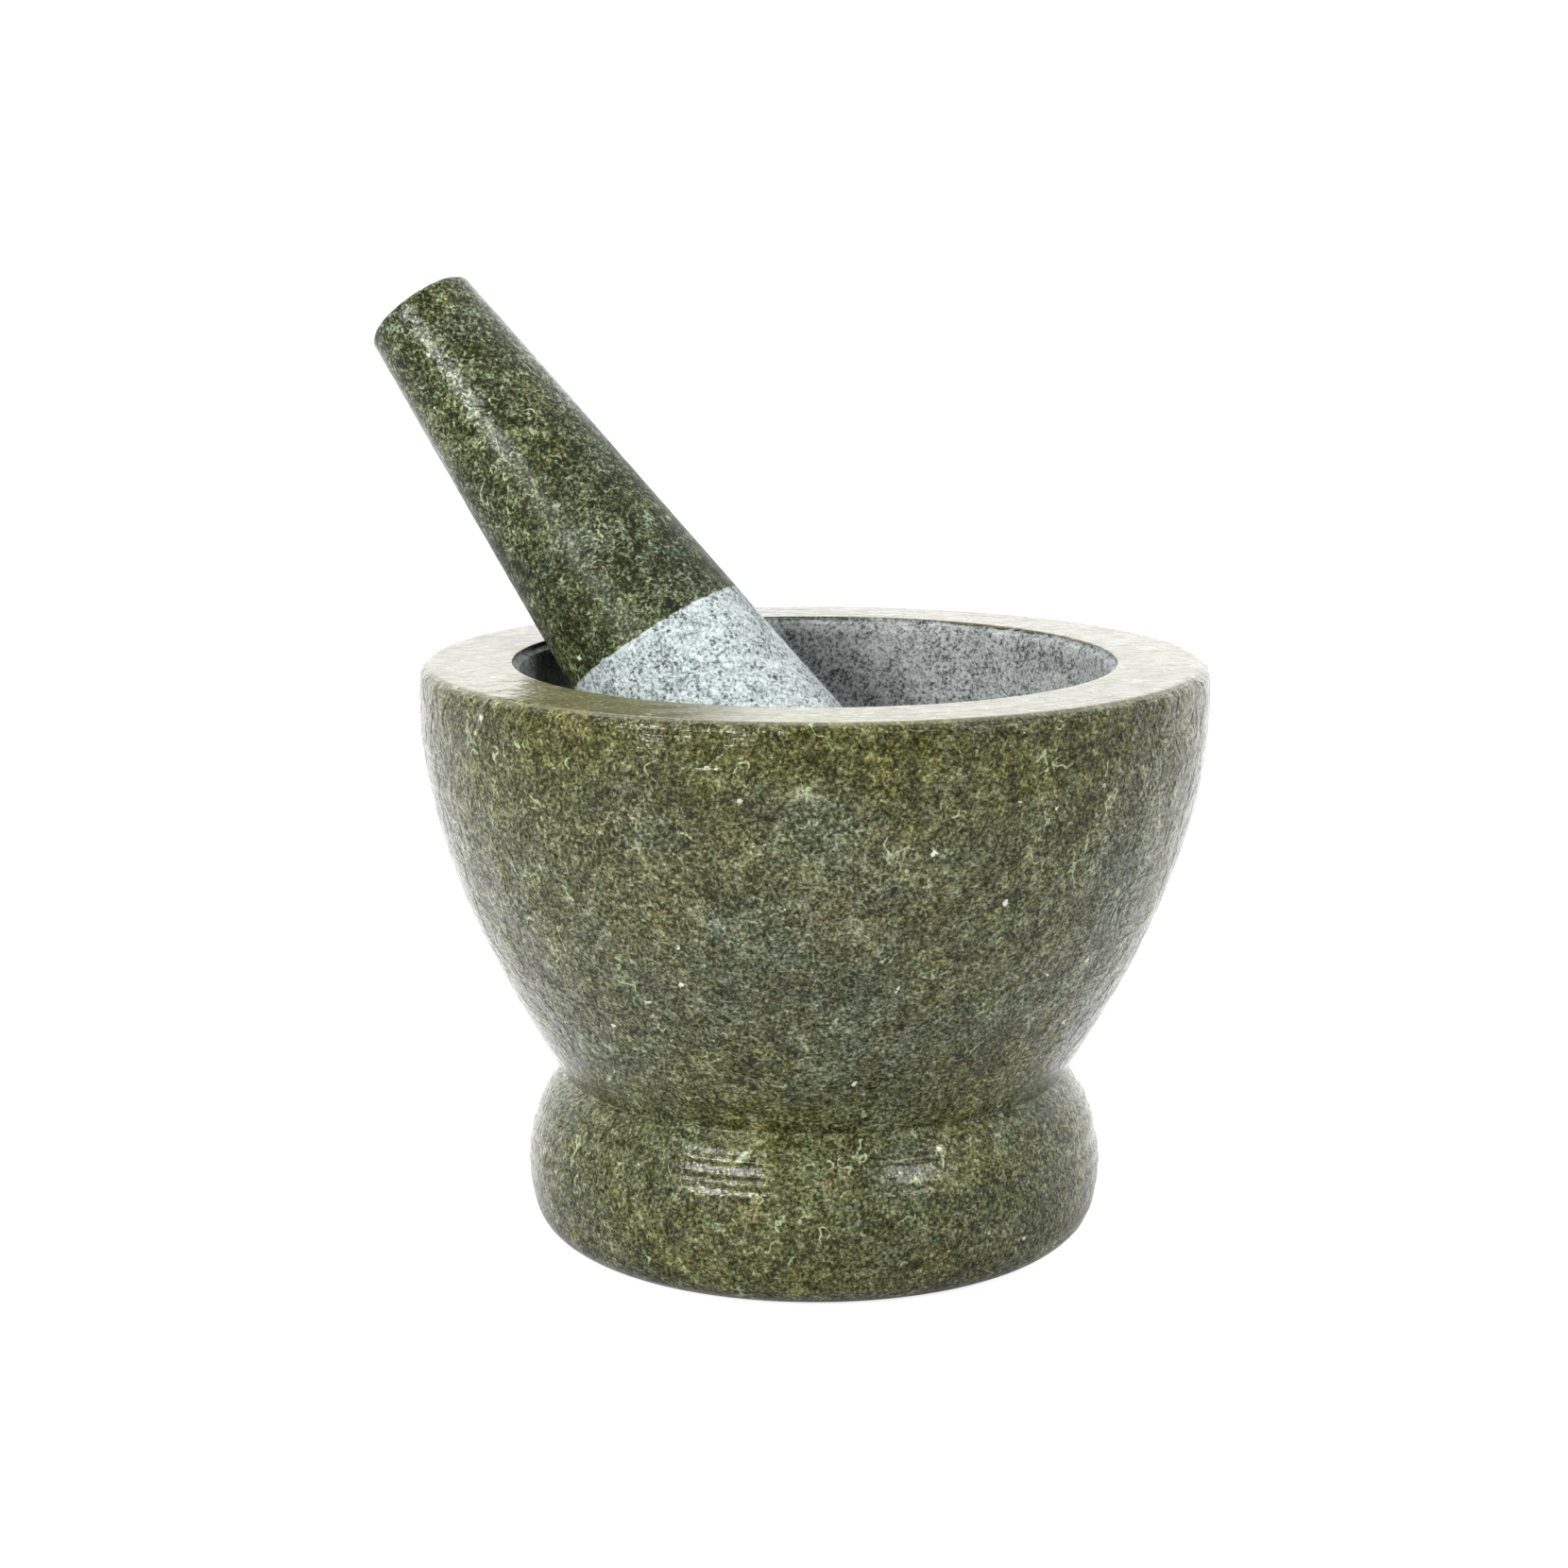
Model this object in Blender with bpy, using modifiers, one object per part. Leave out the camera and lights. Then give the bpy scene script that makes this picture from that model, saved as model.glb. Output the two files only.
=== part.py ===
"""Molcajete: a lathe-turned stone mortar with a loose stone pestle leaning in its bowl.

The frame is metres with +Z up. The origin is the centre of the mortar's flat underside.
"""
import math

import bpy
from mathutils import Matrix, Vector
from mathutils.geometry import interpolate_bezier

MM = 0.001

# Mortar, outside
HEIGHT = 111.3 * MM           # underside to the flat top of the rim
RIM_RADIUS = 74.9 * MM        # outer edge of the rim
RIM_EDGE_ROUND = 1.3 * MM     # rounding of that edge
WAIST_HEIGHT = 31.3 * MM      # the crease between bowl and foot
WAIST_RADIUS = 48.4 * MM
FOOT_RADIUS = 55.6 * MM       # widest ring of the foot
FOOT_BULGE_HEIGHT = 13.4 * MM
BASE_RADIUS = 49.0 * MM       # edge of the flat underside

# Mortar, inside
CAVITY_RADIUS = 56.2 * MM     # round bottom and upright upper wall
CAVITY_CENTRE_HEIGHT = 96.0 * MM
RIM_BEVEL_WIDTH = 1.8 * MM    # ground bevel along the mouth
RIM_BEVEL_DEPTH = 1.5 * MM

# Pestle: a straight taper that runs into a round grinding end
PESTLE_LENGTH = 169.7 * MM
GRINDING_RADIUS = 24.5 * MM
PESTLE_TAPER = math.radians(5.25)
HANDLE_EDGE_ROUND = 1.5 * MM
HANDLE_CROWN = 0.8 * MM       # height of the slightly domed handle end

# How the pestle leans in the bowl
PESTLE_LEAN = math.radians(40.3)      # from upright
PESTLE_HEADING = math.radians(153.7)  # where its handle points, from +X towards +Y
TOUCH_GAP = 0.3 * MM                  # clearance where stone rests on stone

MORTAR_TURN_STEPS = 80
PESTLE_TURN_STEPS = 48
QUARTER_TURN = math.pi / 2
SHARP_ANGLE = math.radians(28)


def arc(centre, radius, start, end, steps):
    """Points (r, z) along a circular arc, both ends included."""
    angles = [start + (end - start) * i / steps for i in range(steps + 1)]
    return [(centre[0] + radius * math.cos(a), centre[1] + radius * math.sin(a)) for a in angles]


def bezier(start, handle_1, handle_2, end, count):
    """Points (r, z) along one cubic Bezier segment, both ends included."""
    knots = [Vector((r, z, 0)) for r, z in (start, handle_1, handle_2, end)]
    return [(p.x, p.y) for p in interpolate_bezier(*knots, count)]


def mortar_profile():
    """From the middle of the bowl's floor, over the rim, down the outside to the underside."""
    cavity = arc((0, CAVITY_CENTRE_HEIGHT), CAVITY_RADIUS, -QUARTER_TURN, 0, 15)
    bevel = [(CAVITY_RADIUS, HEIGHT - RIM_BEVEL_DEPTH), (CAVITY_RADIUS + RIM_BEVEL_WIDTH, HEIGHT)]
    edge_centre = (RIM_RADIUS - RIM_EDGE_ROUND, HEIGHT - RIM_EDGE_ROUND)
    rim_edge = arc(edge_centre, RIM_EDGE_ROUND, QUARTER_TURN, 0, 4)
    waist = (WAIST_RADIUS, WAIST_HEIGHT)
    bowl = bezier(rim_edge[-1], (RIM_RADIUS + 1.8 * MM, HEIGHT - 22 * MM),
                  (WAIST_RADIUS + 19.9 * MM, WAIST_HEIGHT + 31.6 * MM), waist, 15)
    bulge = (FOOT_RADIUS, FOOT_BULGE_HEIGHT)
    foot_top = bezier(waist, (WAIST_RADIUS + 3.8 * MM, WAIST_HEIGHT - 2.5 * MM),
                      (FOOT_RADIUS, FOOT_BULGE_HEIGHT + 8.8 * MM), bulge, 7)
    foot_bottom = bezier(bulge, (FOOT_RADIUS, FOOT_BULGE_HEIGHT - 6.9 * MM),
                         (BASE_RADIUS + 4.6 * MM, 1.5 * MM), (BASE_RADIUS, 0), 7)
    return cavity + bevel + rim_edge + bowl[1:] + foot_top[1:] + foot_bottom[1:] + [(0, 0)]


def taper_radius(height):
    """Radius of the pestle's straight side, at a height above its grinding end's centre."""
    return GRINDING_RADIUS / math.cos(PESTLE_TAPER) - height * math.tan(PESTLE_TAPER)


def pestle_profile():
    """From the middle of the handle end down to the tip; the grinding end's centre is at 0."""
    top = PESTLE_LENGTH - GRINDING_RADIUS
    shoulder_height = top - HANDLE_CROWN - HANDLE_EDGE_ROUND
    shoulder = (taper_radius(shoulder_height) - HANDLE_EDGE_ROUND, shoulder_height)
    handle_end = [(0, top), (shoulder[0] / 2, top - HANDLE_CROWN / 4)]
    handle_edge = arc(shoulder, HANDLE_EDGE_ROUND, QUARTER_TURN, 0, 4)
    side_start = handle_edge[-1][1]
    side_end = GRINDING_RADIUS * math.sin(PESTLE_TAPER)
    heights = [side_start + (side_end - side_start) * i / 6 for i in range(1, 6)]
    side = [(taper_radius(height), height) for height in heights]
    grinding_end = arc((0, 0), GRINDING_RADIUS, PESTLE_TAPER, -QUARTER_TURN, 12)
    return handle_end + handle_edge + side + grinding_end


def resting_place():
    """The grinding end's centre, as (distance behind the mortar's axis, height).

    The taper touches the lower edge of the rim bevel and the round end touches the round bowl, each
    across the touch gap, in the upright plane that holds both axes.
    """
    edge = Vector((CAVITY_RADIUS, HEIGHT - RIM_BEVEL_DEPTH))
    underside = Vector((math.cos(PESTLE_LEAN - PESTLE_TAPER), -math.sin(PESTLE_LEAN - PESTLE_TAPER)))
    bowl_centre = Vector((0, CAVITY_CENTRE_HEIGHT))
    along_normal = (edge - bowl_centre).dot(underside) - GRINDING_RADIUS - TOUCH_GAP
    reach = CAVITY_RADIUS - GRINDING_RADIUS - TOUCH_GAP
    along_side = math.sqrt(reach ** 2 - along_normal ** 2)
    downhill = Vector((underside.y, -underside.x))
    return bowl_centre + along_normal * underside + along_side * downhill


def stone(name, colour, roughness):
    material = bpy.data.materials.new(name)
    material.use_nodes = True
    shader = material.node_tree.nodes["Principled BSDF"]
    shader.inputs["Base Color"].default_value = (*colour, 1)
    shader.inputs["Roughness"].default_value = roughness
    shader.inputs["Metallic"].default_value = 0
    return material


def turned(name, profile, steps, material, collection):
    """A closed solid turned from its profile about its own Z axis."""
    outline = bpy.data.meshes.new(name + "_profile")
    points = [(r, 0, z) for r, z in profile]
    outline.from_pydata(points, [(i, i + 1) for i in range(len(points) - 1)], [])
    blank = bpy.data.objects.new(name + "_blank", outline)
    collection.objects.link(blank)
    screw = blank.modifiers.new("Turn", "SCREW")
    screw.axis = "Z"
    screw.angle = 2 * math.pi
    screw.steps = steps
    screw.render_steps = steps
    screw.use_merge_vertices = True
    screw.merge_threshold = 0.00001
    evaluated = blank.evaluated_get(bpy.context.evaluated_depsgraph_get())
    mesh = bpy.data.meshes.new_from_object(evaluated)
    bpy.data.objects.remove(blank)
    bpy.data.meshes.remove(outline)
    mesh.name = name
    mesh.materials.append(material)
    mesh.shade_smooth()
    mesh.set_sharp_from_angle(angle=SHARP_ANGLE)
    piece = bpy.data.objects.new(name, mesh)
    collection.objects.link(piece)
    return piece


def main():
    for old in list(bpy.data.objects):
        bpy.data.objects.remove(old)
    collection = bpy.data.collections.new("molcajete")
    bpy.context.scene.collection.children.link(collection)

    sealed_stone = stone("sealed_green_granite", (0.12, 0.12, 0.06), 0.22)
    raw_stone = stone("raw_grey_granite", (0.30, 0.32, 0.32), 0.62)
    turned("mortar", mortar_profile(), MORTAR_TURN_STEPS, sealed_stone, collection)

    pestle = turned("pestle", pestle_profile(), PESTLE_TURN_STEPS, raw_stone, collection)
    back, height = resting_place()
    heading = Matrix.Rotation(PESTLE_HEADING, 4, "Z")
    lean = Matrix.Rotation(PESTLE_LEAN, 4, "Y")

    # The pestle lifts straight up, along the line through its grinding end's centre.
    lift_axis = bpy.data.objects.new("pestle_lift_axis", None)
    lift_axis.location = heading @ Vector((back, 0, height))
    collection.objects.link(lift_axis)
    pestle.parent = lift_axis
    pestle.matrix_basis = heading @ lean


main()
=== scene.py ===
import math

import bpy
import numpy as np
from mathutils import Matrix, Vector, noise


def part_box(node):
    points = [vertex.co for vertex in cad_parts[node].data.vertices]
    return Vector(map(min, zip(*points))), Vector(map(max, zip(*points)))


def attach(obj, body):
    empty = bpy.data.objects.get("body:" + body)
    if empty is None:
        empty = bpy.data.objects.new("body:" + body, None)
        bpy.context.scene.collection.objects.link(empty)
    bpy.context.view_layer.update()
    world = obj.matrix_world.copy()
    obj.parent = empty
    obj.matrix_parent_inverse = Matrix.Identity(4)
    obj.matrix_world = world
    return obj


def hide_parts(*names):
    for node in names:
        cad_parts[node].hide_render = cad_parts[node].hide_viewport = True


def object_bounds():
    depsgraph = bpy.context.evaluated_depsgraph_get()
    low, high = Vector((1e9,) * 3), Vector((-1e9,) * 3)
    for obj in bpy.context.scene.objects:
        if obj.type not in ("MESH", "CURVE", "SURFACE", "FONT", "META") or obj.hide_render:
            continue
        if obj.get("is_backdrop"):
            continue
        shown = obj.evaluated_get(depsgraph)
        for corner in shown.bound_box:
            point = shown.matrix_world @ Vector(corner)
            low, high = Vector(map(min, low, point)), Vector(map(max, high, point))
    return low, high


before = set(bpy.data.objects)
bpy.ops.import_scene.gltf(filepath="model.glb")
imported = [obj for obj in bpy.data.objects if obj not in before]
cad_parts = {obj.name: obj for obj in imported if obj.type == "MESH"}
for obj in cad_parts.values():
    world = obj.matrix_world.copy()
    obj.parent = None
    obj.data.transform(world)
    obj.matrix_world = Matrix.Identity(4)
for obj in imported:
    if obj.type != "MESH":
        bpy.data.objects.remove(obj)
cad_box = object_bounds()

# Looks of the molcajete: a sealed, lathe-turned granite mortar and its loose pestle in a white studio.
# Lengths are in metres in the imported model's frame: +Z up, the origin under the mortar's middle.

MM = 0.001
TURN = 2 * math.pi
QUARTER = math.pi / 2

# Camera, where the photographer stood
CAMERA_DISTANCE = 605.9 * MM   # from the mortar's axis
CAMERA_HEIGHT = 202.9 * MM
CAMERA_TILT = math.radians(10.85)
CAMERA_TURN = math.radians(0.55)
CAMERA_LENS = 73.7             # mm on a 36 mm sensor

# Mortar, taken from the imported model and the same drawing
MORTAR_LOW, MORTAR_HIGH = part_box("mortar")
HEIGHT = MORTAR_HIGH[2]
RIM_RADIUS = 74.9 * MM
WAIST_HEIGHT = 31.3 * MM
WAIST_RADIUS = 48.4 * MM
FOOT_RADIUS = 55.6 * MM
FOOT_BULGE_HEIGHT = 13.4 * MM
BASE_RADIUS = 49.0 * MM
CAVITY_RADIUS = 56.2 * MM
CAVITY_CENTRE_HEIGHT = 96.0 * MM
RIM_BEVEL_DEPTH = 1.5 * MM
MOUTH_RADIUS = CAVITY_RADIUS + 1.3 * MM
STEP_DEPTH = 0.75 * MM               # the mouth's edge drops this far before the bevel starts
ARRIS_RADIUS = 0.15 * MM             # rounding of the mouth's edge
CHIPPED_HEADING = math.radians(52)   # where the mouth's edge is knocked, at the back right
CHIP_REACH = 0.80 * MM               # how far a chip widens the mouth
CHIP_DROP = 0.25 * MM                # how far it lowers the rim
MORTAR_SEGMENTS = 340

# Pestle
PESTLE_LENGTH = 169.7 * MM
GRINDING_RADIUS = 24.5 * MM
PESTLE_TAPER = math.radians(5.25)
HANDLE_EDGE_ROUND = 1.5 * MM
HANDLE_CROWN = 0.8 * MM
PESTLE_LEAN = math.radians(40.3)
PESTLE_HEADING = math.radians(153.7)
TOUCH_GAP = 0.3 * MM
PESTLE_SEGMENTS = 180

# Where the sealer stops on the pestle, above its grinding end's centre; in the mortar it is on the bevel
SEAL_HEIGHT = 62.1 * MM
SEAL_TILT = 1.65 * MM
SEAL_TILT_HEADING = math.radians(-25.8)
SEAL_FAR = 3 * MM                    # distance given to places well away from the sealer's edge

# Relief turned into the mesh: a depth, then the wave, around and seed of its ripple. The rings on the
# foot have one ripple and two depths, and all relief there fades out towards the table.
FOOT_RINGS = (1.5 * MM, 0.7, 11)
FOOT_RINGS_ABOVE_BULGE = 0.12 * MM
FOOT_RINGS_BELOW_BULGE = 0.07 * MM
FOOT_WAVES = (0.10 * MM, 4 * MM, 1.6, 5)
FOOT_SETTLES = 3 * MM
RELIEF = {
    "bowl": [(0.045 * MM, 2.2 * MM, 1.6, 23), (0.10 * MM, 14 * MM, 2.5, 3)],
    "rim": [(0.012 * MM, 2.0 * MM, 1.2, 31)],
    "edge": [(0.012 * MM, 2.0 * MM, 1.2, 31)],
    "cavity": [(0.08 * MM, 9 * MM, 5, 47)],
    "pestle": [(0.03 * MM, 3 * MM, 1.0, 61), (0.09 * MM, 22 * MM, 1.2, 67)],
}

# Granite: colours from the darkest crystals to the palest, and how far each scale of grain counts
SEALED_STOPS = [(0.00, (0.008, 0.009, 0.004)), (0.24, (0.021, 0.023, 0.009)), (0.40, (0.042, 0.046, 0.020)),
                (0.54, (0.071, 0.078, 0.039)), (0.70, (0.108, 0.119, 0.068)), (1.00, (0.235, 0.252, 0.175))]
RAW_STOPS = [(0.00, (0.040, 0.048, 0.050)), (0.22, (0.110, 0.126, 0.127)), (0.40, (0.290, 0.322, 0.318)),
             (0.58, (0.470, 0.510, 0.500)), (1.00, (0.740, 0.770, 0.750))]
FACET_SHARE = 0.30
FINE_SHARE = 1.90
CLUSTER_SHARE = 0.65
BLOT_SHARE = 0.58
PATCH_SHARE = 0.15

# Slow drifts of hue in the sealed stone: (noise scale per mm, detail, roughness, shift of the pattern,
# noise where the drift starts and where it is full, its full share, tint)
HUE_DRIFTS = [
    (0.20, 3.0, 0.65, 157.0, 0.095, 0.20, 1.0, (1.28, 1.31, 1.00)),   # yellow
    (0.16, 3.0, 0.60, 191.0, 0.090, 0.19, 1.0, (0.90, 1.01, 1.08)),   # blue-green
    (0.11, 3.0, 0.65, 211.0, 0.040, 0.15, 0.9, (1.07, 0.945, 0.87)),  # brown
    (0.55, 2.0, 0.60, 239.0, 0.150, 0.22, 1.0, (1.12, 0.76, 0.66)),   # rust
]
WARM_TINT = (1.03, 1.01, 0.90)
GREY_TINT = (0.97, 0.98, 1.10)
UPPER_TINT = (0.84, 0.80, 0.54)      # under the rim
UPPER_BAND = (89.0, 106.0)           # mm above the table, where it sets in and where it is full
LOWER_TINT = (0.96, 0.96, 0.80)      # waist and foot
LOWER_BAND = (30.0, 56.0)            # mm above the table, where it is full and where it ends
BAND_WANDER = 34.0                   # mm, how far noise moves both bands
HONED_TINT = (1.42, 1.36, 1.32)      # the rim's flat top
HONED_BAND = (110.7, 111.1)
HONED_COLOUR = (0.150, 0.143, 0.098, 1)
SEAM_COLOUR = (0.050, 0.036, 0.020, 1)
SPECK_COLOUR = (0.012, 0.013, 0.007, 1)
CRYSTAL_COLOUR = (0.50, 0.53, 0.46, 1)
WISP_COLOUR = (0.27, 0.32, 0.18, 1)

# Gloss
STONE_IOR = 1.14
SEALER_IOR = 1.28
SEALER_ROUGHNESS = 0.12
RAW_ROUGHNESS = 0.5

# Finishes: tints on the raw and the sealed stone, whether the colour is banded by height, the distances
# from the profile's start over which the polish wears off (none on the mortar), how far the sealer's edge
# wanders, the sealed stone's contrast and how much darker it is, and how much sealer lies on it
MORTAR_FINISH = {"raw": (0.47, 0.465, 0.46), "sealed": (1.0, 1.0, 1.0), "banded": True, "dulls": None,
                 "ragged": 0.4 * MM, "contrast": 1.14, "depth": 0.068, "sealer": 0.9}
PESTLE_FINISH = {"raw": (0.635, 0.66, 0.67), "sealed": (0.84, 0.92, 0.93), "banded": False,
                 "dulls": (0.032, 0.062), "ragged": 1.5 * MM, "contrast": 1.50, "depth": 0.160,
                 "sealer": 0.55}

# Studio: the lamps' angles to the right of the camera and above the table, distances, sizes, radiances
LAMPS = {
    "key_left": (math.radians(-40), math.radians(30), 0.8, (0.34, 0.060), 150),
    "fill_right": (math.radians(43), math.radians(31), 0.9, (0.36, 0.07), 54),
}
LAMP_AIM = Vector((0, 0, 60 * MM))
WHITE = (1, 1, 1, 1)
TABLE_GLOW = 0.86
TABLE_HALF = 6.0
BACKDROP_SEEN = 1.1                  # what the camera sees past the table
SKY_LEVEL = 0.35                     # light from all round, and what each direction adds to it
SKY_BEHIND = 1.3
SKY_OVERHEAD = 1.4
SKY_SIDES = 0.65
SKY_RIGHT = 0.32
SKY_LEAST, SKY_MOST = 0.05, 2.1


# ---------------------------------------------------------------- profiles

def arc(centre, radius, start, end, spacing):
    """Points (r, z) along a circular arc, both ends included."""
    steps = max(2, math.ceil(abs(end - start) * radius / spacing))
    angles = [start + (end - start) * i / steps for i in range(steps + 1)]
    return [(centre[0] + radius * math.cos(a), centre[1] + radius * math.sin(a)) for a in angles]


def line(start, end, spacing):
    """Points (r, z) along a straight line, both ends included."""
    steps = max(1, math.ceil(math.dist(start, end) / spacing))
    return [tuple(a + (b - a) * i / steps for a, b in zip(start, end)) for i in range(steps + 1)]


def bezier(start, handle_1, handle_2, end, spacing):
    """Points (r, z) along one cubic Bezier segment, evenly spaced, both ends included."""
    t = np.linspace(0, 1, 400)[:, None]
    knots = [np.array(p) for p in (start, handle_1, handle_2, end)]
    weights = ((1 - t) ** 3, 3 * (1 - t) ** 2 * t, 3 * (1 - t) * t ** 2, t ** 3)
    points = sum(w * k for w, k in zip(weights, knots))
    along = np.concatenate([[0], np.cumsum(np.linalg.norm(np.diff(points, axis=0), axis=1))])
    even = np.linspace(0, along[-1], max(2, math.ceil(along[-1] / spacing)) + 1)
    return list(zip(np.interp(even, along, points[:, 0]), np.interp(even, along, points[:, 1])))


def join(*stretches):
    """One list of (r, z, zone) from (zone, points) stretches that share their end points."""
    rows = []
    for zone, points in stretches:
        rows += [(r, z, zone) for r, z in (points[1:] if rows else points)]
    return rows


def mortar_profile():
    """From the middle of the bowl's floor, over the rim and down the outside to the underside."""
    mouth_low = (CAVITY_RADIUS, HEIGHT - RIM_BEVEL_DEPTH)
    step_low = (MOUTH_RADIUS, HEIGHT - STEP_DEPTH)
    arris_centre = (MOUTH_RADIUS + ARRIS_RADIUS, HEIGHT - ARRIS_RADIUS)
    arris = arc(arris_centre, ARRIS_RADIUS, 2 * QUARTER, QUARTER, 0.08 * MM)
    shoulder = (RIM_RADIUS - 1.9 * MM, HEIGHT)
    chamfer_high = (RIM_RADIUS - 1.5 * MM, HEIGHT - 0.12 * MM)
    chamfer_low = (RIM_RADIUS - 0.35 * MM, HEIGHT - 1.15 * MM)
    rim_edge = join(
        ("edge", line(shoulder, chamfer_high, 0.2 * MM)),
        ("edge", line(chamfer_high, chamfer_low, 0.3 * MM)),
        ("edge", line(chamfer_low, (RIM_RADIUS - 0.12 * MM, HEIGHT - 1.7 * MM), 0.25 * MM)),
    )
    rim_edge = [(r, z) for r, z, zone in rim_edge]
    waist = (WAIST_RADIUS, WAIST_HEIGHT)
    bowl = bezier(rim_edge[-1], (RIM_RADIUS + 1.8 * MM, HEIGHT - 22 * MM),
                  (WAIST_RADIUS + 19.9 * MM, WAIST_HEIGHT + 31.6 * MM), waist, 0.9 * MM)
    bulge = (FOOT_RADIUS, FOOT_BULGE_HEIGHT)
    foot_top = bezier(waist, (WAIST_RADIUS + 3.8 * MM, WAIST_HEIGHT - 2.5 * MM),
                      (FOOT_RADIUS, FOOT_BULGE_HEIGHT + 8.8 * MM), bulge, 0.25 * MM)
    foot_low = bezier(bulge, (FOOT_RADIUS, FOOT_BULGE_HEIGHT - 6.9 * MM),
                      (BASE_RADIUS + 4.6 * MM, 1.5 * MM), (BASE_RADIUS, 0), 0.7 * MM)
    return join(
        ("cavity", arc((0, CAVITY_CENTRE_HEIGHT), CAVITY_RADIUS, -QUARTER, 0, 3.0 * MM)),
        ("cavity", line((CAVITY_RADIUS, CAVITY_CENTRE_HEIGHT), mouth_low, 2.0 * MM)),
        ("bevel", line(mouth_low, step_low, 0.3 * MM)),
        ("bevel", line(step_low, arris[0], 0.11 * MM)),
        ("rim", arris),
        ("rim", line(arris[-1], shoulder, 0.9 * MM)),
        ("edge", rim_edge),
        ("bowl", bowl),
        ("foot", foot_top),
        ("foot", foot_low),
        ("base", line((BASE_RADIUS, 0), (0, 0), 7 * MM)),
    )


def taper_radius(height):
    """Radius of the pestle's straight side, at a height above its grinding end's centre."""
    return GRINDING_RADIUS / math.cos(PESTLE_TAPER) - height * math.tan(PESTLE_TAPER)


def pestle_profile():
    """From the middle of the handle end down to the tip; the grinding end's centre is at 0."""
    top = PESTLE_LENGTH - GRINDING_RADIUS
    shoulder_height = top - HANDLE_CROWN - HANDLE_EDGE_ROUND
    shoulder = (taper_radius(shoulder_height) - HANDLE_EDGE_ROUND, shoulder_height)
    edge = arc(shoulder, HANDLE_EDGE_ROUND, QUARTER, PESTLE_TAPER, 0.3 * MM)
    crown = bezier((0, top), (shoulder[0] * 0.5, top), (shoulder[0] * 0.8, edge[0][1]), edge[0], 1 * MM)
    side_end_height = GRINDING_RADIUS * math.sin(PESTLE_TAPER)
    side_end = (taper_radius(side_end_height), side_end_height)
    return join(
        ("crown", crown),
        ("crown", edge),
        ("side", line(edge[-1], side_end, 1 * MM)),
        ("tip", arc((0, 0), GRINDING_RADIUS, PESTLE_TAPER, -QUARTER, 1.2 * MM)),
    )


def resting_place():
    """The grinding end's centre, as (distance along the heading, height)."""
    edge = Vector((CAVITY_RADIUS, HEIGHT - RIM_BEVEL_DEPTH))
    underside = Vector((math.cos(PESTLE_LEAN - PESTLE_TAPER), -math.sin(PESTLE_LEAN - PESTLE_TAPER)))
    bowl_centre = Vector((0, CAVITY_CENTRE_HEIGHT))
    along_normal = (edge - bowl_centre).dot(underside) - GRINDING_RADIUS - TOUCH_GAP
    reach = CAVITY_RADIUS - GRINDING_RADIUS - TOUCH_GAP
    along_side = math.sqrt(reach ** 2 - along_normal ** 2)
    downhill = Vector((underside.y, -underside.x))
    return bowl_centre + along_normal * underside + along_side * downhill


# ---------------------------------------------------------------- turned meshes

def ripple(angle, along, wave, around, seed):
    """Smooth noise from -1 to 1 on a turned surface; wave is its length along the profile."""
    point = Vector((math.cos(angle) * around, math.sin(angle) * around, along / wave + seed))
    return noise.noise(point) * 2


def waves(zone, angle, along):
    """The summed ripples of one zone of the RELIEF table."""
    return sum(depth * ripple(angle, along, *shape) for depth, *shape in RELIEF.get(zone, ()))


def mortar_relief(zone, angle, along, z):
    """How far the stone stands out of the drawing (outwards) at one place, with the tool's rings."""
    if zone != "foot":
        return waves(zone, angle, along)
    settled = min(1.0, z / FOOT_SETTLES)
    depth = FOOT_RINGS_ABOVE_BULGE if z > FOOT_BULGE_HEIGHT else FOOT_RINGS_BELOW_BULGE
    wave_depth, *wave_shape = FOOT_WAVES
    rings = depth * ripple(angle, along, *FOOT_RINGS)
    return settled * (rings + wave_depth * ripple(angle, along, *wave_shape))


def mouth_chip(angle):
    """Depth of the small chips along the mouth's sharp edge, as a share from 0 to 1."""
    knocked = max(0.0, math.cos(angle - CHIPPED_HEADING)) ** 6
    wide = noise.noise(Vector((math.cos(angle) * 9, math.sin(angle) * 9, 4.2)))
    fine = noise.noise(Vector((math.cos(angle) * 34, math.sin(angle) * 34, 8.1)))
    return knocked * max(0.0, min(1.0, (wide * 1.3 + fine * 0.9 + 0.1) * 2.2))


def profile_normals(profile):
    """Unit normals (r, z) of the profile's rows, pointing out of the stone."""
    points = np.array([(r, z) for r, z, zone in profile])
    steps = np.gradient(points, axis=0)
    normals = np.column_stack([-steps[:, 1], steps[:, 0]])
    return normals / np.linalg.norm(normals, axis=1)[:, None]


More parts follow.
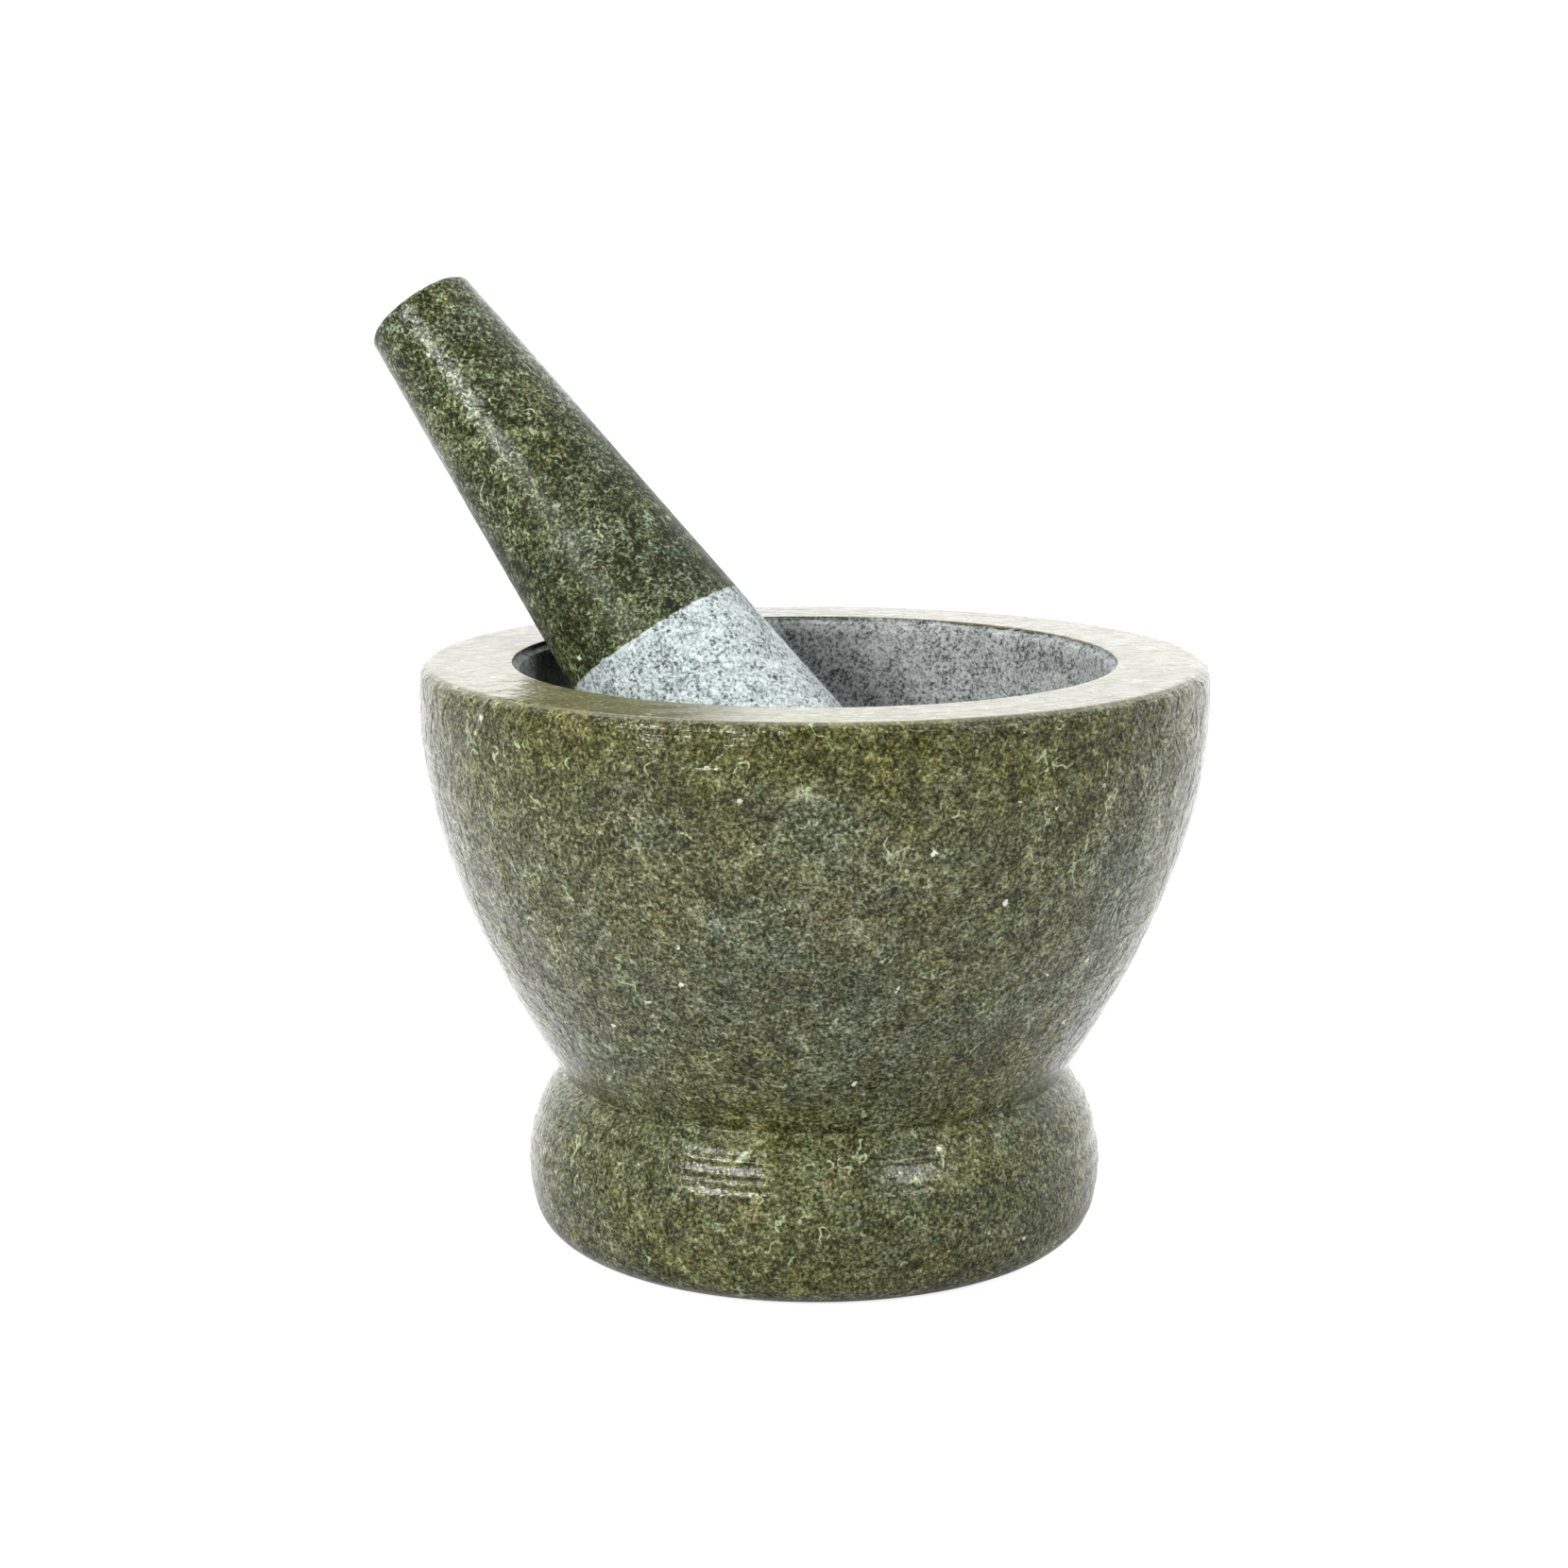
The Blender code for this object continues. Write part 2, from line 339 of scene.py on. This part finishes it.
def turned_mesh(name, profile, segments, relief, seal):
    """A closed mesh turned about Z, with relief along its normals.

    It carries two attributes: lathe is (cos, sin, distance along the profile) and seal is the
    signed distance to the sealer's edge, positive where the stone is sealed.
    """
    points = np.array([(r, z) for r, z, zone in profile])
    along = np.concatenate([[0], np.cumsum(np.linalg.norm(np.diff(points, axis=0), axis=1))])
    normals = profile_normals(profile)
    vertices, lathe, sealed, faces = [], [], [], []
    last = len(profile) - 1
    for row, (r, z, zone) in enumerate(profile):
        pole = row in (0, last)
        for k in range(1 if pole else segments):
            angle = TURN * k / segments
            dr, dz = (0, 0) if pole else relief(zone, angle, along[row], r, z, normals[row])
            radius = r + dr
            vertices.append((radius * math.cos(angle), radius * math.sin(angle), z + dz))
            lathe.append((math.cos(angle), math.sin(angle), along[row]))
            sealed.append(seal(zone, angle, z))
    first = [0] + [1 + segments * i for i in range(last)]
    for row in range(last):
        a, b = first[row], first[row + 1]
        for k in range(segments):
            n = (k + 1) % segments
            if row == 0:
                faces.append((a, b + k, b + n))
            elif row == last - 1:
                faces.append((a + k, b, a + n))
            else:
                faces.append((a + k, b + k, b + n, a + n))
    mesh = bpy.data.meshes.new(name)
    mesh.from_pydata(vertices, [], faces)
    mesh.attributes.new("lathe", "FLOAT_VECTOR", "POINT").data.foreach_set("vector", np.ravel(lathe))
    mesh.attributes.new("seal", "FLOAT", "POINT").data.foreach_set("value", np.array(sealed))
    mesh.shade_smooth()
    return mesh


def placed(mesh):
    """The mesh as an object of the same name in the scene."""
    piece = bpy.data.objects.new(mesh.name, mesh)
    bpy.context.scene.collection.objects.link(piece)
    return piece


def make_mortar():
    def relief(zone, angle, along, r, z, normal):
        out = mortar_relief(zone, angle, along, z)
        dr, dz = out * normal[0], out * normal[1]
        if zone == "bevel" or (zone == "rim" and r < MOUTH_RADIUS + 1.6 * MM):
            chip = mouth_chip(angle)
            place = min(1.0, (r - CAVITY_RADIUS) / (MOUTH_RADIUS - CAVITY_RADIUS))
            fade = max(0.0, 1 - max(0.0, r - MOUTH_RADIUS - 0.2 * MM) / (1.2 * MM))
            dr += CHIP_REACH * chip * place * fade
            dz -= CHIP_DROP * chip * place * fade
        return dr, dz

    def seal(zone, angle, z):
        if zone == "cavity":
            return -SEAL_FAR
        if zone == "bevel":
            uneven = noise.noise(Vector((math.cos(angle) * 13, math.sin(angle) * 13, 2.7)))
            run = (0.42 + 0.5 * uneven) * MM * (1 - 0.9 * mouth_chip(angle))
            return z - (HEIGHT - run)
        return SEAL_FAR

    return placed(turned_mesh("mortar_stone", mortar_profile(), MORTAR_SEGMENTS, relief, seal))


def make_pestle():
    def relief(zone, angle, along, r, z, normal):
        out = waves("pestle", angle, along)
        return out * normal[0], out * normal[1]

    def seal(zone, angle, z):
        return z - SEAL_HEIGHT - SEAL_TILT * math.cos(angle - SEAL_TILT_HEADING)

    mesh = turned_mesh("pestle_stone", pestle_profile(), PESTLE_SEGMENTS, relief, seal)
    along, height = resting_place()
    heading = Matrix.Rotation(PESTLE_HEADING, 4, "Z")
    place = Matrix.Translation(heading @ Vector((along, 0, height)))
    mesh.transform(place @ heading @ Matrix.Rotation(PESTLE_LEAN, 4, "Y"))
    return placed(mesh)


# ---------------------------------------------------------------- granite

class Nodes:
    """A small writer for one node tree."""

    def __init__(self, tree):
        self.tree = tree
        self.tree.nodes.clear()

    def add(self, kind, inputs=None, **settings):
        node = self.tree.nodes.new(kind)
        for key, value in settings.items():
            setattr(node, key, value)
        for key, value in (inputs or {}).items():
            if isinstance(value, bpy.types.NodeSocket):
                self.tree.links.new(value, node.inputs[key])
            else:
                node.inputs[key].default_value = value
        return node

    def math(self, operation, a, b=0.0):
        return self.add("ShaderNodeMath", {0: a, 1: b}, operation=operation).outputs[0]

    def vector(self, operation, a, b):
        return self.add("ShaderNodeVectorMath", {0: a, 1: b}, operation=operation).outputs[0]

    def scaled(self, a, factor):
        node = self.add("ShaderNodeVectorMath", {0: a, "Scale": factor}, operation="SCALE")
        return node.outputs[0]

    def axis(self, a, letter):
        return self.add("ShaderNodeSeparateXYZ", {0: a}).outputs[letter]

    def rest(self, share):
        """One minus the share."""
        return self.math("SUBTRACT", 1.0, share)

    def bent(self, where, scale, detail, reach):
        """A place moved about by slow noise, so that the patterns on it flow."""
        node = self.add("ShaderNodeTexNoise", {"Vector": where, "Scale": scale, "Detail": detail})
        moved = self.vector("SUBTRACT", node.outputs["Color"], (0.5, 0.5, 0.5))
        return self.vector("ADD", where, self.scaled(moved, reach))

    def noise(self, where, scale, detail, roughness, distortion=0.0):
        node = self.add("ShaderNodeTexNoise", {"Vector": where, "Scale": scale, "Detail": detail,
                                               "Roughness": roughness, "Distortion": distortion})
        return node.outputs["Fac"]

    def total(self, *terms):
        """Sum of (value, weight) terms."""
        summed = 0.0
        for value, weight in terms:
            node = self.add("ShaderNodeMath", {0: value, 1: weight, 2: summed}, operation="MULTIPLY_ADD")
            summed = node.outputs[0]
        return summed

    def product(self, *factors):
        made = factors[0]
        for factor in factors[1:]:
            made = self.math("MULTIPLY", made, factor)
        return made

    def cells(self, where, scale):
        """Three random values per crystal."""
        node = self.add("ShaderNodeTexVoronoi", {"Vector": where, "Scale": scale})
        split = self.add("ShaderNodeSeparateColor", {0: node.outputs["Color"]})
        return split.outputs

    def fit(self, value, low, high, to_low=0.0, to_high=1.0):
        """Value mapped from low..high to to_low..to_high, clamped and smooth."""
        node = self.add("ShaderNodeMapRange", {"Value": value, "From Min": low, "From Max": high,
                                               "To Min": to_low, "To Max": to_high},
                        interpolation_type="SMOOTHSTEP")
        return node.outputs["Result"]

    def mix(self, share, a, b, blend="MIX"):
        node = self.add("ShaderNodeMix", {"Factor": share, 6: a, 7: b}, data_type="RGBA", blend_type=blend)
        return node.outputs[2]

    def tinted(self, colour, tint):
        return self.mix(1.0, colour, (*tint, 1), "MULTIPLY")

    def ramp(self, value, stops):
        node = self.add("ShaderNodeValToRGB", {0: value})
        elements = node.color_ramp.elements
        for position, colour in stops[2:]:
            elements.new(position)
        for element, (position, colour) in zip(elements, sorted(stops)):
            element.position = position
            element.color = (*colour, 1)
        return node.outputs[0]


def granite(name, finish):
    """Fine-grained green granite: glossy and deep where sealed, pale and dull where raw."""
    material = bpy.data.materials.new(name)
    material.use_nodes = True
    n = Nodes(material.node_tree)
    place = n.add("ShaderNodeTexCoord").outputs["Object"]
    mm = n.scaled(place, 1000.0)                      # patterns below are in millimetres
    height = n.axis(mm, "Z")
    lathe = n.add("ShaderNodeAttribute", attribute_name="lathe").outputs["Vector"]
    seal = n.add("ShaderNodeAttribute", attribute_name="seal").outputs["Fac"]

    def centred(scale, detail, roughness, shift=0.0, distortion=0.0):
        where = n.vector("ADD", mm, (shift, shift * 0.7, shift * 1.3)) if shift else mm
        return n.math("SUBTRACT", n.noise(where, scale, detail, roughness, distortion), 0.5)

    # Crystals: many small facets, their clusters, and slow changes across the block
    bent = n.bent(mm, 1.9, 1.0, 0.9)
    flow = n.bent(mm, 0.22, 2.0, 9.0)
    facets = n.math("SUBTRACT", n.cells(bent, 2.1)[0], 0.5)
    streaks = n.math("SUBTRACT", n.noise(flow, 0.95, 2.0, 0.6, 0.3), 0.5)
    fine = n.total((centred(1.65, 3.0, 0.64, 0.0, 0.5), 0.82), (streaks, 0.45))
    clusters = centred(0.42, 2.0, 0.6, 17.0)
    blots = centred(0.13, 3.0, 0.6, 41.0, 0.5)
    patches = centred(0.036, 3.0, 0.55, 83.0, 0.3)
    grain = n.total((facets, FACET_SHARE), (fine, FINE_SHARE), (clusters, CLUSTER_SHARE),
                    (blots, BLOT_SHARE), (patches, PATCH_SHARE))

    raw_stone = n.tinted(n.ramp(n.math("ADD", grain, 0.5), RAW_STOPS), finish["raw"])
    deep = n.math("ADD", n.math("MULTIPLY", grain, finish["contrast"]), 0.5 - finish["depth"])
    stone = n.ramp(deep, SEALED_STOPS)

    # Slow drifts of hue
    grey = n.fit(centred(0.045, 3.0, 0.6, 131.0), -0.10, 0.10)
    stone = n.mix(grey, n.tinted(stone, WARM_TINT), n.tinted(stone, GREY_TINT))
    for scale, detail, roughness, shift, low, high, most, tint in HUE_DRIFTS:
        share = n.fit(centred(scale, detail, roughness, shift), low, high, 0.0, most)
        stone = n.mix(share, stone, n.tinted(stone, tint))
    stone = n.tinted(stone, finish["sealed"])

    if finish["banded"]:
        # Warmer and deeper under the rim, warmer again at the waist and foot
        level = n.total((height, 1.0), (centred(0.05, 3.0, 0.6, 401.0), BAND_WANDER))
        stone = n.mix(n.fit(level, *UPPER_BAND), stone, n.tinted(stone, UPPER_TINT))
        stone = n.mix(n.fit(level, *LOWER_BAND, 1.0, 0.0), stone, n.tinted(stone, LOWER_TINT))
        # The rim's flat top is honed: paler, and its crystals show less
        top = n.fit(height, *HONED_BAND)
        stone = n.mix(top, stone, n.mix(0.35, n.tinted(stone, HONED_TINT), HONED_COLOUR))

    # A few brown seams
    seam = n.fit(n.math("ABSOLUTE", centred(0.035, 3.0, 0.6, 433.0, 0.8)), 0.0006, 0.0022, 1.0, 0.0)
    seam_kept = n.fit(centred(0.06, 2.0, 0.5, 457.0), 0.05, 0.08)
    stone = n.mix(n.product(seam, seam_kept, 0.75), stone, SEAM_COLOUR)

    # Small dark crystals, and a few single white ones
    dark = n.fit(n.cells(bent, 1.7)[1], 0.90, 0.95)
    stone = n.mix(n.product(dark, n.fit(clusters, -0.06, 0.02), 0.65), stone, SPECK_COLOUR)
    white = n.fit(n.cells(bent, 1.15)[1], 0.9991, 0.9996)
    stone = n.mix(n.math("MULTIPLY", white, 0.75), stone, CRYSTAL_COLOUR)

    # Short pale wisps along one level of slow noise
    thin = n.fit(n.math("ABSOLUTE", centred(0.14, 2.0, 0.5, 263.0, 0.15)), 0.005, 0.016, 1.0, 0.0)
    kept = n.fit(centred(0.16, 2.0, 0.5, 281.0), 0.07, 0.13)
    broken = n.fit(fine, -0.14, 0.06, 0.12, 1.0)
    stone = n.mix(n.product(thin, kept, broken, 0.80), stone, WISP_COLOUR)

    # The sealer's edge is a little ragged
    ragged = n.total((centred(0.55, 3.0, 0.5, 307.0), finish["ragged"]), (fine, 0.4 * finish["ragged"]))
    mask = n.fit(n.math("ADD", seal, ragged), -0.07 * MM, 0.07 * MM)
    raw_share = n.rest(mask)
    colour = n.mix(mask, raw_stone, stone)

    # Relief finer than the mesh: crystals, and the tool's scratches round the axis
    scratches = n.noise(n.vector("MULTIPLY", lathe, (7.0, 7.0, 1000.0)), 1.8, 4.0, 0.7)
    grooves = n.noise(n.vector("MULTIPLY", lathe, (5.0, 5.0, 1000.0)), 0.55, 3.0, 0.65)
    worked = n.fit(blots, -0.08, 0.12, 0.25, 1.0)
    if finish["banded"]:
        worked = n.product(worked, n.fit(height, 34.0, 46.0, 1.0, 3.0))
    sealed_height = n.total((scratches, 0.050 * MM), (n.product(grooves, worked), 0.26 * MM),
                            (fine, 0.042 * MM), (facets, 0.006 * MM))
    if finish["banded"]:
        sealed_height = n.product(sealed_height, n.rest(n.math("MULTIPLY", top, 0.82)))
    raw_height = n.total((fine, 0.16 * MM), (facets, 0.03 * MM))
    relief = n.math("ADD", n.product(mask, sealed_height), n.product(raw_share, raw_height))
    bump = n.add("ShaderNodeBump", {"Height": relief, "Strength": 1.0, "Distance": 1.0}).outputs[0]

    # Gloss is uneven, and the sealer lies thin over some crystals
    gloss = n.fit(n.total((centred(0.35, 3.0, 0.6, 331.0), 1.0), (facets, 0.12)), -0.15, 0.15, 0.12, 0.26)
    sealer = n.product(mask, n.fit(fine, -0.16, 0.12, 0.15, 1.0), finish["sealer"])
    if finish["dulls"]:
        # Hands have worn the lower handle dull, and its end is matt
        reach = n.axis(lathe, "Z")
        worn = n.math("MAXIMUM", n.fit(reach, *finish["dulls"]), n.fit(reach, 0.0095, 0.0120, 1.0, 0.0))
        gloss = n.math("ADD", gloss, n.math("MULTIPLY", worn, 0.24))
        sealer = n.product(sealer, n.rest(n.math("MULTIPLY", worn, 0.85)))
    if finish["banded"]:
        sealer = n.total((n.product(sealer, n.rest(top)), 1.0), (top, 0.40))
    roughness = n.math("ADD", n.product(mask, gloss), n.product(raw_share, RAW_ROUGHNESS))

    shader = n.add("ShaderNodeBsdfPrincipled", {
        "Base Color": colour, "Roughness": roughness, "IOR": STONE_IOR,
        "Coat Weight": sealer, "Coat Roughness": SEALER_ROUGHNESS, "Coat IOR": SEALER_IOR,
        "Normal": bump, "Coat Normal": bump})
    n.add("ShaderNodeOutputMaterial", {"Surface": shader.outputs[0]})
    return material


# ---------------------------------------------------------------- studio

def make_floor():
    """A white table lit from below, as product photographs use; its glow is painted dark where the mortar
    stands, a painted contact shadow, and dimmed near the mortar for all but camera rays, a painted shade.
    """
    mesh = bpy.data.meshes.new("floor")
    corners = [(x * TABLE_HALF, y * TABLE_HALF, 0) for x, y in ((-1, -1), (1, -1), (1, 1), (-1, 1))]
    mesh.from_pydata(corners, [], [(0, 1, 2, 3)])
    floor = placed(mesh)
    floor.location.z = MORTAR_LOW[2] - 0.1 * MM
    material = bpy.data.materials.new("white_table")
    material.use_nodes = True
    n = Nodes(material.node_tree)
    place = n.add("ShaderNodeTexCoord").outputs["Object"]
    from_middle = n.add("ShaderNodeVectorMath", {0: place}, operation="LENGTH").outputs["Value"]
    # Painted contact shadow: the table gives no glow under the base, and the glow fades in at the base's
    # edge
    glow_with_painted_shade = n.fit(from_middle, BASE_RADIUS - 1.0 * MM, BASE_RADIUS + 0.2 * MM, 0.0, TABLE_GLOW)
    # Painted shade: near the mortar the table's glow is dimmed for all rays but the camera's, so the foot
    # mirrors and is lit by less than the overexposed white the camera sees
    seen = n.add("ShaderNodeLightPath").outputs["Is Camera Ray"]
    painted_shade = n.fit(from_middle, BASE_RADIUS, BASE_RADIUS + 45 * MM, 0.25, 1.0)
    glow_with_painted_shade = n.math("MULTIPLY", glow_with_painted_shade, n.math("MAXIMUM", seen, painted_shade))
    shader = n.add("ShaderNodeBsdfPrincipled", {"Base Color": (0.25, 0.25, 0.25, 1), "Roughness": 0.6,
                                                "Emission Color": WHITE, "Emission Strength": glow_with_painted_shade})
    n.add("ShaderNodeOutputMaterial", {"Surface": shader.outputs[0]})
    mesh.materials.append(material)
    floor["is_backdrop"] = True


def make_world():
    """White all round, bright overhead and behind, dim at table height on the photographer's side."""
    world = bpy.data.worlds.new("studio")
    bpy.context.scene.world = world
    world.use_nodes = True
    n = Nodes(world.node_tree)
    direction = n.add("ShaderNodeTexCoord").outputs["Generated"]
    parts = n.add("ShaderNodeSeparateXYZ", {0: direction}).outputs
    light = n.total((parts["Y"], SKY_BEHIND), (parts["Z"], SKY_OVERHEAD),
                    (n.math("ABSOLUTE", parts["X"]), SKY_SIDES), (parts["X"], SKY_RIGHT))
    light = n.math("ADD", light, SKY_LEVEL)
    light = n.math("MINIMUM", n.math("MAXIMUM", light, SKY_LEAST), SKY_MOST)
    seen = n.add("ShaderNodeLightPath").outputs["Is Camera Ray"]
    strength = n.math("ADD", n.product(seen, BACKDROP_SEEN), n.product(n.rest(seen), light))
    background = n.add("ShaderNodeBackground", {"Color": WHITE, "Strength": strength})
    n.add("ShaderNodeOutputWorld", {"Surface": background.outputs[0]})


def make_softbox(name, side, up, distance, size, radiance):
    """A rectangular soft light aimed at the object; side and up are its angles, as in LAMPS."""
    light = bpy.data.lights.new(name, "AREA")
    light.shape = "RECTANGLE"
    light.size, light.size_y = size
    light.energy = radiance * math.pi * size[0] * size[1]
    lamp = bpy.data.objects.new(name, light)
    back = Vector((math.sin(side) * math.cos(up), -math.cos(side) * math.cos(up), math.sin(up)))
    lamp.location = LAMP_AIM + back * distance
    lamp.rotation_mode = "QUATERNION"
    lamp.rotation_quaternion = back.to_track_quat("Z", "Y")
    bpy.context.scene.collection.objects.link(lamp)


def make_camera():
    data = bpy.data.cameras.new("camera")
    data.lens = CAMERA_LENS
    data.sensor_width = 36
    camera = bpy.data.objects.new("camera", data)
    camera.location = (0, -CAMERA_DISTANCE, CAMERA_HEIGHT)
    camera.rotation_euler = (QUARTER - CAMERA_TILT, 0, CAMERA_TURN)
    bpy.context.scene.collection.objects.link(camera)
    bpy.context.scene.camera = camera


def main():
    make_camera()
    make_world()
    make_floor()
    for name, setting in LAMPS.items():
        make_softbox(name, *setting)
    bpy.context.scene.view_settings.view_transform = "Standard"

    pieces = ((make_mortar, "mortar", MORTAR_FINISH), (make_pestle, "pestle", PESTLE_FINISH))
    for make, node, finish in pieces:
        piece = make()
        piece.data.materials.append(granite(node + "_granite", finish))
        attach(piece, node)
        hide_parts(node)


main()
[[list(corner) for corner in box] for box in (cad_box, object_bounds())]
